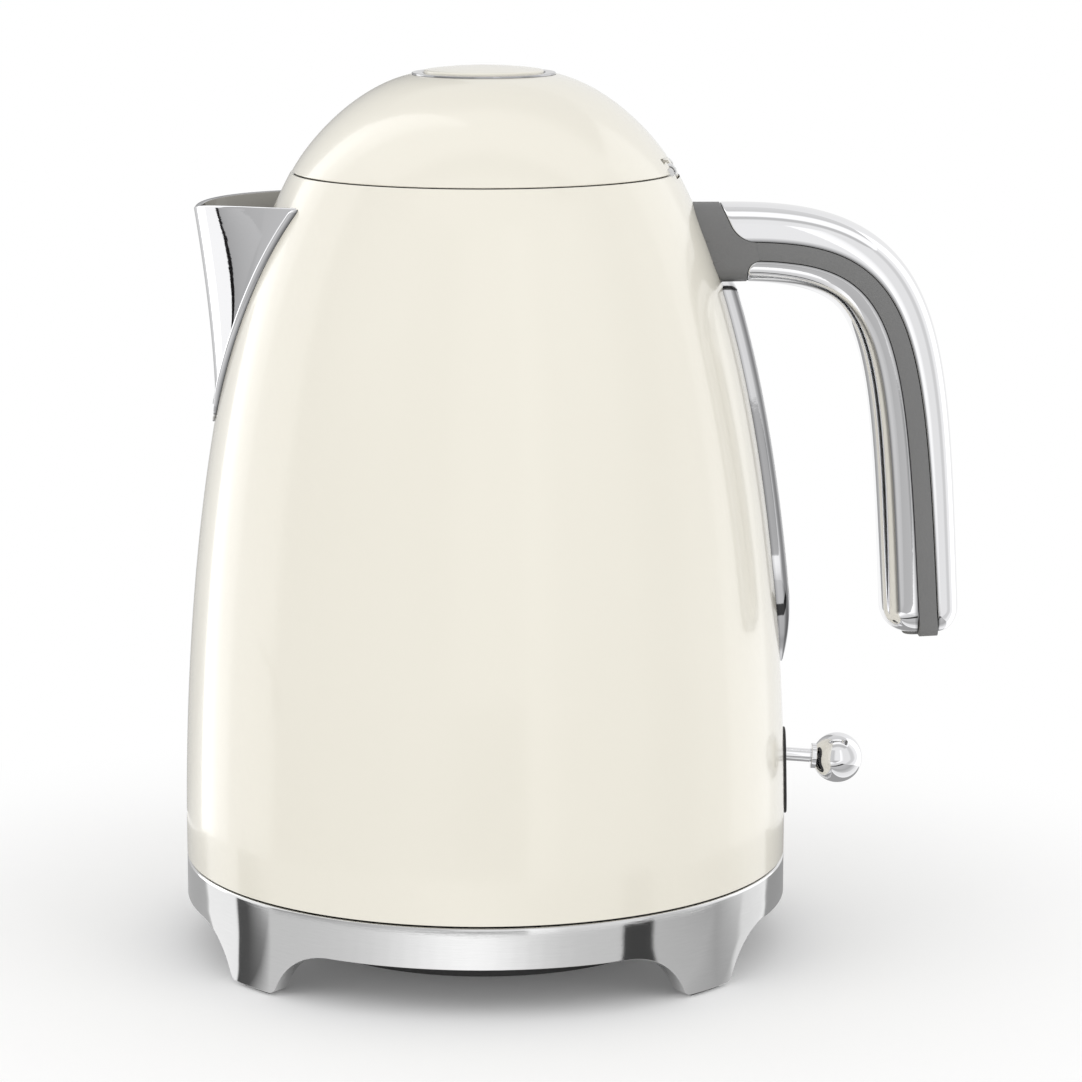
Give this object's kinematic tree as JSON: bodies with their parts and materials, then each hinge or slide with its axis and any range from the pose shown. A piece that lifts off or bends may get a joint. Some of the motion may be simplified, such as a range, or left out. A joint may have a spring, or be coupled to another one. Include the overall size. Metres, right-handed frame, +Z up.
{
  "type": "electric kettle",
  "caption": "Cordless electric kettle: domed lid with push button, open spout, hanging handle, water gauge and ball-ended switch lever, on a round swivel power base with feet.",
  "frame": {"origin": "on the vertical axis of the kettle and its base, at the counter that the rubber pads stand on", "axes": "+X towards the handle and the switch lever, -X towards the spout, +Z up"},
  "size_m": [0.2197, 0.171, 0.2491],
  "materials": {
    "cream_enamel": "glossy enamel",
    "cream_button": "glossy",
    "satin_base": "satin, between brushed and polished",
    "polished_trim": "mirror polish",
    "grey_core": "matte",
    "black_plate": "matte",
    "clear_window": "clear",
    "stainless": "fine brushed",
    "heater_block": "cast",
    "contact_brass": "bright",
    "dark_plastic": "fine grain",
    "pale_plastic": "fine grain",
    "soft_seal": "translucent white silicone",
    "soft_feet": "matte"
  },
  "bodies": {
    "power_base": {"base_ring": "satin_base", "base_deck": "dark_plastic", "base_cover": "dark_plastic", "base_socket": "dark_plastic", "socket_contacts": "contact_brass", "foot_pads": "soft_feet", "base_screws": "stainless", "cord_gland": "dark_plastic"},
    "coupler": {"kettle_coupler": "dark_plastic", "coupler_contacts": "contact_brass"},
    "kettle": {"body_shell": "cream_enamel", "bottom_cover": "dark_plastic", "bottom_screws": "stainless", "heater_plate": "stainless", "plate_seal": "soft_seal", "heat_spreader": "heater_block", "heating_element": "stainless", "control_unit": "pale_plastic", "bimetal_discs": "stainless", "steam_tube": "stainless", "lever_bracket": "pale_plastic", "lever_pin": "stainless", "lever_plate": "black_plate", "gauge_frame": "polished_trim", "gauge_window": "clear_window", "gauge_seal": "soft_seal", "spout_beak": "polished_trim", "spout_flange": "polished_trim", "handle_core": "grey_core", "handle_outer_shell": "polished_trim", "handle_inner_shell": "polished_trim", "handle_screws": "stainless", "mouth_collar": "stainless", "hinge_bracket": "cream_enamel", "hinge_pin": "stainless", "lid_spring": "stainless"},
    "lid": {"lid_shell": "cream_enamel", "lid_liner": "pale_plastic", "lid_seal": "soft_seal", "button_ring": "polished_trim", "hinge_leaf": "cream_enamel", "latch_spring": "stainless"},
    "lid_button": {"button_cap": "cream_button", "button_plunger": "pale_plastic", "button_spring": "stainless"},
    "lid_latch": {"latch_bolt": "pale_plastic"},
    "switch_lever": {"lever_arm": "pale_plastic", "lever_stem": "polished_trim", "lever_ball": "polished_trim"},
    "spout_filter": {"filter_frame": "stainless", "filter_mesh": "stainless"}
  },
  "joints": [
    {"name": "kettle_lift", "type": "slide", "parent": "power_base", "child": "coupler", "axis": [0, 0, 1], "range_m": [0, 0.1]},
    {"name": "kettle_swivel", "type": "hinge", "parent": "coupler", "child": "kettle", "pos_m": [0, 0, 0.03], "axis": [0, 0, 1], "continuous": true},
    {"name": "lid_hinge", "type": "hinge", "parent": "kettle", "child": "lid", "pos_m": [0.0512, 0, 0.2204], "axis": [0, 1, 0], "range_deg": [0, 85]},
    {"name": "button_press", "type": "slide", "parent": "lid", "child": "lid_button", "axis": [0, 0, -1], "range_m": [0, 0.003], "stiffness_N_per_m": 400, "springref_m": -0.002, "deforming": ["button_spring"]},
    {"name": "latch_slide", "type": "slide", "parent": "lid", "child": "lid_latch", "axis": [1, 0, 0], "range_m": [0, 0.003]},
    {"name": "lever_rocker", "type": "hinge", "parent": "kettle", "child": "switch_lever", "pos_m": [0.066, 0, 0.0541], "axis": [0, 1, 0], "range_deg": [0, 25]},
    {"name": "filter_pull", "type": "slide", "parent": "kettle", "child": "spout_filter", "axis": [1, 0, 0], "range_m": [0, 0.012]}
  ],
  "couplings": [
    {"joint": "latch_slide", "follows": "button_press", "ratio": 1}
  ]
}
